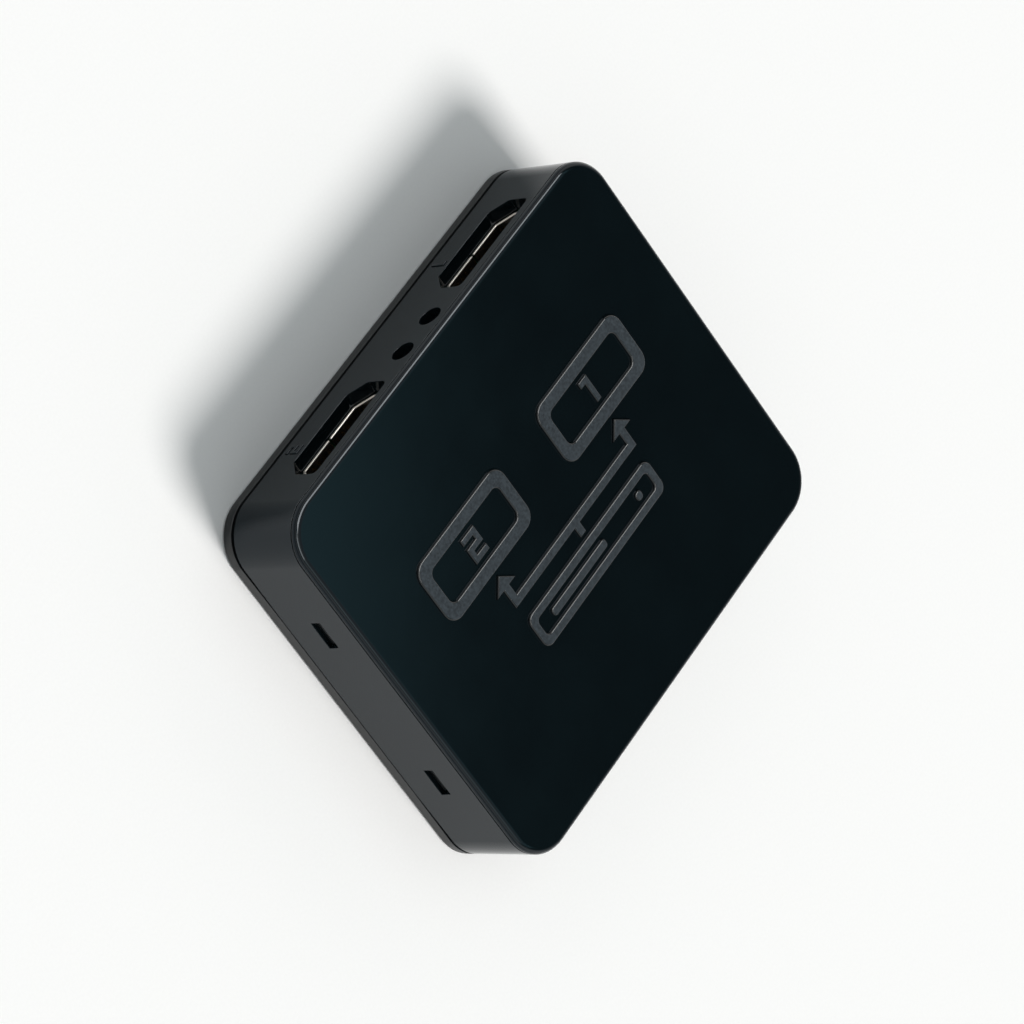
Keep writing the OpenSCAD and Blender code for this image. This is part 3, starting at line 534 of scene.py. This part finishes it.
# Gold plating is a deep warm yellow, smooth, with a trace of the strip's rolling grain.
gold = grained(
    "gold_plated_copper",
    "#b98f36",
    "#d8b25a",
    size=0.1,
    height=0.001,
    smooth=0.2,
    rough=0.32,
    Metallic=1.0,
)
row_tree = contact_rows()
sockets_by_name = {item.name: item.identifier for item in row_tree.interface.items_tree}
for socket in SHEET_ROLL:
    rows = POWER_ROWS if socket == "power" else VIDEO_ROWS
    low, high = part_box(socket + "_contacts")
    front, back = (high.y, low.y) if low.y > 0 else (low.y, high.y)
    upper = contact_strip("upper_contact", front, back, high.z, low.z)
    lower = contact_strip("lower_contact", front, back, high.z - rows["row_drop"] * MM, low.z)
    maker = bpy.data.objects.new("contact_maker", bpy.data.meshes.new("contact_maker"))
    bpy.context.scene.collection.objects.link(maker)
    setter = maker.modifiers.new("contact_rows", "NODES")
    setter.node_group = row_tree
    for name, value in {
        "Upper contact": upper,
        "Lower contact": lower,
        "Upper count": rows["upper"],
        "Lower count": rows["lower"],
        "Pitch": rows["pitch"] * MM,
        "Middle": (low.x + high.x) / 2,
        "Finish": gold,
    }.items():
        setter[sockets_by_name[name]] = value
    plated = bmesh.new()
    plated.from_mesh(baked(maker))
    for strip in (upper, lower):
        bpy.data.objects.remove(strip)
    contacts = socket + "_contacts"
    place_piece(contacts + "_plated", plated, gold, "gold_plated_contacts", contacts)


# Indicator lamps
# Two cast epoxy lamps, smoke tinted, that lie behind the round holes of the output wall.
# They are unlit, so the holes look almost black.


def smoked_epoxy():
    """Cast epoxy with a smoke tint and a diffusing filler: a dull dome that swallows most light."""
    material, tree, shader, place = start_material("cast_smoked_epoxy", IOR=1.4)
    haze = add_grain(tree, place, size=0.8)
    raise_grain(tree, shader, haze, height=0.001)
    vary_gloss(tree, shader, haze, 0.5, 0.62)
    vary_colour(tree, shader, haze, "#090b0c", "#0f1213")
    return material


lamps = merged_copy("indicator_lenses")
place_piece("indicator_lenses_cast", lamps, smoked_epoxy(), "clear_epoxy", "indicator_lenses")


# Upper housing
# One injection moulding of black ABS with walls, top, socket mouths, lamp holes and snap windows.
# Its tool was polished, so it is glossy, with the faint waviness that moulded plastic keeps.

HOLE_EDGE = 0.06
MOULD_LINE_DEPTH = 0.7
RIM_GLOSS = 0.08


def buff_rim(tree, shader, *stops):
    """Gives a surface a second gloss where its slope asks for it.
    The slope is 1 on the top and 0 on the walls."""
    facing = add_node(tree, "ShaderNodeNewGeometry").outputs["Normal"]
    slope = add_node(tree, "ShaderNodeSeparateXYZ", {"Vector": facing}).outputs["Z"]
    rim = add_node(tree, "ShaderNodeValToRGB", {"Fac": slope}, stops=stops).outputs["Color"]
    tree.links.new(rim, shader.inputs["Coat Weight"])
    shader.inputs["Coat Roughness"].default_value = RIM_GLOSS
    return rim


def polished_abs():
    """Black ABS from a polished tool: deep gloss, with slow waves of shrinkage and a trace of haze.
    The rounded edges were buffed most, so they mirror more light and show as fine pale lines."""
    material, tree, shader, place = start_material("polished_black_abs", IOR=1.38)
    shader.inputs["Specular Tint"].default_value = hex_colour("#ccdae8")
    waves = add_grain(tree, place, size=2.2, detail=1.0)
    raise_grain(tree, shader, waves, height=0.0005)
    haze = add_grain(tree, place, size=9, detail=3.0)
    vary_gloss(tree, shader, haze, 0.065, 0.09)
    vary_colour(tree, shader, haze, "#0a1114", "#0b1316")
    buff_rim(
        tree, shader, (0.55, "#000000"), (0.7, "#dddddd"), (0.88, "#dddddd"), (0.96, "#000000")
    )
    return material


gloss_abs = polished_abs()
shell_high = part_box("top_shell")[1]
on_wall = on_outer_wall("top_shell")
below_line = shell_high.z - MOULD_LINE_DEPTH * MM
housing = merged_copy("top_shell")
round_edges(housing, HOLE_EDGE, lambda at: on_wall(at) and at.z < below_line)
place_piece("top_shell_moulded", housing, gloss_abs, "gloss_black_abs", "top_shell")


# Pictogram
# A plain raised diagram on the top: a player feeds two screens with the numbers of their outputs.
# It is moulded with the housing. The tool is etched there, so it is matt, and its grey is a painted
# sheen.

PICTOGRAM_RISE = 0.35
PICTOGRAM_EDGE = 0.25
EDGE_STEPS = 4
CURVE_MERGE = 0.001
SCREEN_X = 13.0
SCREEN_Y = 6.3
SCREEN_W = 18.0
SCREEN_H = 8.6
SCREEN_R = 1.9
SCREEN_INNER_R = 0.95
SCREEN_STROKE = 1.8
PLAYER_Y = -7.6
PLAYER_W = 27.0
PLAYER_H = 4.8
PLAYER_R = 1.2
PLAYER_INNER_R = 0.6
LINE = 1.2
BRANCH_Y = -2.6
ARROW_W = 4.0
ARROW_L = 1.9
SPACING = 0.6
SLOT_X = -4.0
SLOT_W = 12.0
SLOT_R = 0.5
LAMP_X = 9.6
DIGIT_H = 3.7
DIGIT_W = 2.8
DIGIT_LINE = 0.9
CORNER_STEPS = 8


def rounded_frame(x, y, w, h, r):
    """Corner points of a rectangle with round corners."""
    points = []
    for quarter, (side_x, side_y) in enumerate([(1, 1), (-1, 1), (-1, -1), (1, -1)]):
        for step in range(CORNER_STEPS + 1):
            angle = math.radians(90 * (quarter + step / CORNER_STEPS))
            across = x + side_x * (w / 2 - r) + r * math.cos(angle)
            along = y + side_y * (h / 2 - r) + r * math.sin(angle)
            points.append((across, along))
    return points


def block_digit(digit, x, y, w, h, stroke):
    """Corner points of a plain block-shaped 1 or 2 with its middle at x, y."""
    left, right, low, high = x - w / 2, x + w / 2, y - h / 2, y + h / 2
    if digit == "1":
        stem = x - stroke / 2
        return [
            (stem, low),
            (stem + stroke, low),
            (stem + stroke, high),
            (stem - stroke, high),
            (stem - stroke, high - stroke),
            (stem, high - stroke),
        ]
    return [
        (left, low),
        (right, low),
        (right, low + stroke),
        (left + stroke, low + stroke),
        (left + stroke, y - stroke / 2),
        (right, y - stroke / 2),
        (right, high),
        (left, high),
        (left, high - stroke),
        (right - stroke, high - stroke),
        (right - stroke, y + stroke / 2),
        (left, y + stroke / 2),
    ]


def raised_piece(name, outlines, rise, edge, place, material, slot):
    """Piece of flat outlines in millimetres that rise from a face.
    Its edges are soft, and its foot is sunk into the face by the size of an edge."""
    flat = bpy.data.curves.new(name, "CURVE")
    flat.dimensions = "2D"
    flat.fill_mode = "BOTH"
    flat.extrude = (rise - edge) * MM / 2
    flat.bevel_depth = edge * MM
    flat.bevel_resolution = EDGE_STEPS
    flat.offset = -edge * MM
    for outline in outlines:
        line = flat.splines.new("POLY")
        line.points.add(len(outline) - 1)
        for point, (x, y) in zip(line.points, outline):
            point.co = (x * MM, y * MM, 0, 1)
        line.use_cyclic_u = True
    maker = bpy.data.objects.new(name, flat)
    bpy.context.scene.collection.objects.link(maker)
    shaped = bmesh.new()
    shaped.from_mesh(baked(maker))
    shaped.transform(place @ Matrix.Translation((0, 0, (rise - edge) * MM / 2)))
    bmesh.ops.remove_doubles(shaped, verts=shaped.verts, dist=CURVE_MERGE * MM)
    bmesh.ops.beautify_fill(shaped, faces=shaped.faces, edges=shaped.edges)
    place_piece(name, shaped, material, slot)


def etched_abs():
    """The black ABS where the tool is etched: matt, and its paler grey colour is a painted sheen.
    The etching stops at the rounded edges, which stay glossy and draw fine pale lines.
    It is drawn at 0.3 mm, coarser than real, so that it shows in a picture."""
    material, tree, shader, place = start_material("etched_black_abs", IOR=1.42)
    pits = add_grain(tree, place, size=0.3)
    raise_grain(tree, shader, pits, height=0.006)
    vary_gloss(tree, shader, pits, 0.45, 0.56)
    # The grey of these shades is a painted sheen on the black plastic.
    vary_colour(tree, shader, pits, "#21272c", "#363e44")
    rim = buff_rim(tree, shader, (0.9, "#ffffff"), (0.98, "#000000"))
    refinish(tree, shader, rim, RIM_GLOSS, "#0a1114")
    return material


half = LINE / 2
tip_y = SCREEN_Y - SCREEN_H / 2 - SPACING
barb_y = tip_y - ARROW_L
trunk_y = PLAYER_Y + PLAYER_H / 2 + SPACING
right_half = [
    (half, trunk_y),
    (half, BRANCH_Y - half),
    (SCREEN_X + half, BRANCH_Y - half),
    (SCREEN_X + half, barb_y),
    (SCREEN_X + ARROW_W / 2, barb_y),
    (SCREEN_X, tip_y),
    (SCREEN_X - ARROW_W / 2, barb_y),
    (SCREEN_X - half, barb_y),
    (SCREEN_X - half, BRANCH_Y + half),
]
outlines = [right_half + [(-x, y) for x, y in reversed(right_half)]]
for x, y, w, h, r, inner_r, stroke in (
    (-SCREEN_X, SCREEN_Y, SCREEN_W, SCREEN_H, SCREEN_R, SCREEN_INNER_R, SCREEN_STROKE),
    (SCREEN_X, SCREEN_Y, SCREEN_W, SCREEN_H, SCREEN_R, SCREEN_INNER_R, SCREEN_STROKE),
    (0, PLAYER_Y, PLAYER_W, PLAYER_H, PLAYER_R, PLAYER_INNER_R, LINE),
):
    outlines.append(rounded_frame(x, y, w, h, r))
    outlines.append(rounded_frame(x, y, w - 2 * stroke, h - 2 * stroke, inner_r))
outlines.append(rounded_frame(SLOT_X, PLAYER_Y, SLOT_W, LINE, SLOT_R))
outlines.append(rounded_frame(LAMP_X, PLAYER_Y, LINE, LINE, SLOT_R))

output_x = {}
for digit in ("1", "2"):
    low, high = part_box(f"output_{digit}_shell")
    output_x[digit] = (low.x + high.x) / 2 / MM
    over_output = math.copysign(SCREEN_X, output_x[digit])
    outlines.append(block_digit(digit, over_output, SCREEN_Y, DIGIT_W, DIGIT_H, DIGIT_LINE))

on_top = Matrix.Translation((0, 0, shell_high.z))
raised_piece(
    "pictogram", outlines, PICTOGRAM_RISE, PICTOGRAM_EDGE, on_top, etched_abs(), "satin_black_abs"
)


# Numbers of the outputs
# A small raised digit below each output mouth, near the mouth's end, moulded with the wall.
# It is as glossy as the wall, so only its edges catch the light.

NUMBER_H = 2.0
NUMBER_W = 1.4
NUMBER_LINE = 0.4
NUMBER_Z = 3.7
NUMBER_SHIFT = -3.3
NUMBER_RISE = 0.12
NUMBER_EDGE = 0.05

# The numbers are drawn as one sees the wall from outside, where +X points to the left
outlines = [
    block_digit(digit, -(x + NUMBER_SHIFT), NUMBER_Z, NUMBER_W, NUMBER_H, NUMBER_LINE)
    for digit, x in output_x.items()
]
upright = Matrix.Rotation(math.pi, 4, "Z") @ Matrix.Rotation(math.pi / 2, 4, "X")
on_output_wall = Matrix.Translation((0, shell_high.y, 0)) @ upright
raised_piece(
    "output_numbers",
    outlines,
    NUMBER_RISE,
    NUMBER_EDGE,
    on_output_wall,
    gloss_abs,
    "gloss_black_abs",
)


# Floor
# A wide sheet of matt white studio paper on which the box lies.
# It is a round sheet whose edge lies far outside the picture.

FLOOR_REACH = 6000
FLOOR_SIDES = 64


def studio_paper():
    """Matt white paper: a very faint, soft fibre."""
    material, tree, shader, place = start_material("matt_white_paper", Roughness=0.9)
    shader.inputs["Specular IOR Level"].default_value = 0.2
    vary_colour(tree, shader, add_grain(tree, place, size=0.4), "#fafafa", "#fcfcfc")
    return material


sheet = bmesh.new()
bmesh.ops.create_circle(sheet, cap_ends=True, radius=FLOOR_REACH * MM, segments=FLOOR_SIDES)
paper = bpy.data.meshes.new("floor")
sheet.to_mesh(paper)
sheet.free()
paper.materials.append(studio_paper())
floor = bpy.data.objects.new("floor", paper)
bpy.context.scene.collection.objects.link(floor)


# Light
# A soft key from behind the input wall, a pale room, and panels that only glossy surfaces mirror.
# The panels draw the line along the top edge. The top mirrors a dark ring of the room and looks black.

KEY_FROM = Vector((-0.10, -0.69, 0.71))
KEY_STRENGTH = 2.65
KEY_ANGLE = 22
PANELS = {
    "long_panel": (Vector((375, 940, 1500)), (1800, 825), 22),
    "corner_panel": (Vector((-1010, 260, 1500)), (675, 1425), 6.0),
    "side_panel": (Vector((-1010, -900, 1500)), (675, 895), 0.7),
}
SKY_STOPS = (
    (0.0, "#9a9a9a"),
    (0.15, "#c4c4c4"),
    (0.5, "#c4c4c4"),
    (0.69, "#101314"),
    (0.742, "#101314"),
    (0.765, "#a8e0e6"),
    (0.83, "#b9b9b9"),
)

key = bpy.data.lights.new("key", "SUN")
key.energy = KEY_STRENGTH
key.color = hex_colour("#fffcf9")[:3]
key.angle = math.radians(KEY_ANGLE)
key_object = bpy.data.objects.new("key", key)
key_object.rotation_euler = KEY_FROM.to_track_quat("Z", "Y").to_euler()
key_object.visible_glossy = False
bpy.context.scene.collection.objects.link(key_object)

for name, (place, size, power) in PANELS.items():
    panel = bpy.data.lights.new(name, "AREA")
    panel.shape = "RECTANGLE"
    panel.size = size[0] * MM
    panel.size_y = size[1] * MM
    panel.energy = power
    panel_object = bpy.data.objects.new(name, panel)
    panel_object.location = place * MM
    panel_object.visible_camera = False
    panel_object.visible_diffuse = False
    bpy.context.scene.collection.objects.link(panel_object)

room = bpy.data.worlds.new("room")
room.use_nodes = True
sky = room.node_tree
direction = add_node(sky, "ShaderNodeTexCoord").outputs["Generated"]
height = add_node(sky, "ShaderNodeSeparateXYZ", {"Vector": direction}).outputs["Z"]
walls = add_node(sky, "ShaderNodeValToRGB", {"Fac": height}, stops=SKY_STOPS)
sky.links.new(walls.outputs["Color"], sky.nodes["Background"].inputs["Color"])
bpy.context.scene.world = room
bpy.context.scene.view_settings.view_transform = "Standard"


# Camera
# It looks down on the corner between the output wall and a side wall.
# It is turned on its side, so that the box stands on a corner in the picture, as in the photograph.

CAMERA_PLACE = Vector((-309.25, 272.72, 452.08))
CAMERA_AIM = Vector((-6.10, 4.82, 12.70))
CAMERA_ROLL = 86.82
CAMERA_LENS = 184.84

lens = bpy.data.cameras.new("camera")
lens.lens = CAMERA_LENS
lens.sensor_width = 36
lens.clip_start = 0.01
lens.clip_end = 50
camera = bpy.data.objects.new("camera", lens)
camera.location = CAMERA_PLACE * MM
camera.rotation_mode = "QUATERNION"
look = (CAMERA_AIM - CAMERA_PLACE).to_track_quat("-Z", "Y")
camera.rotation_quaternion = look @ Quaternion((0, 0, 1), math.radians(CAMERA_ROLL))
bpy.context.scene.collection.objects.link(camera)
bpy.context.scene.camera = camera
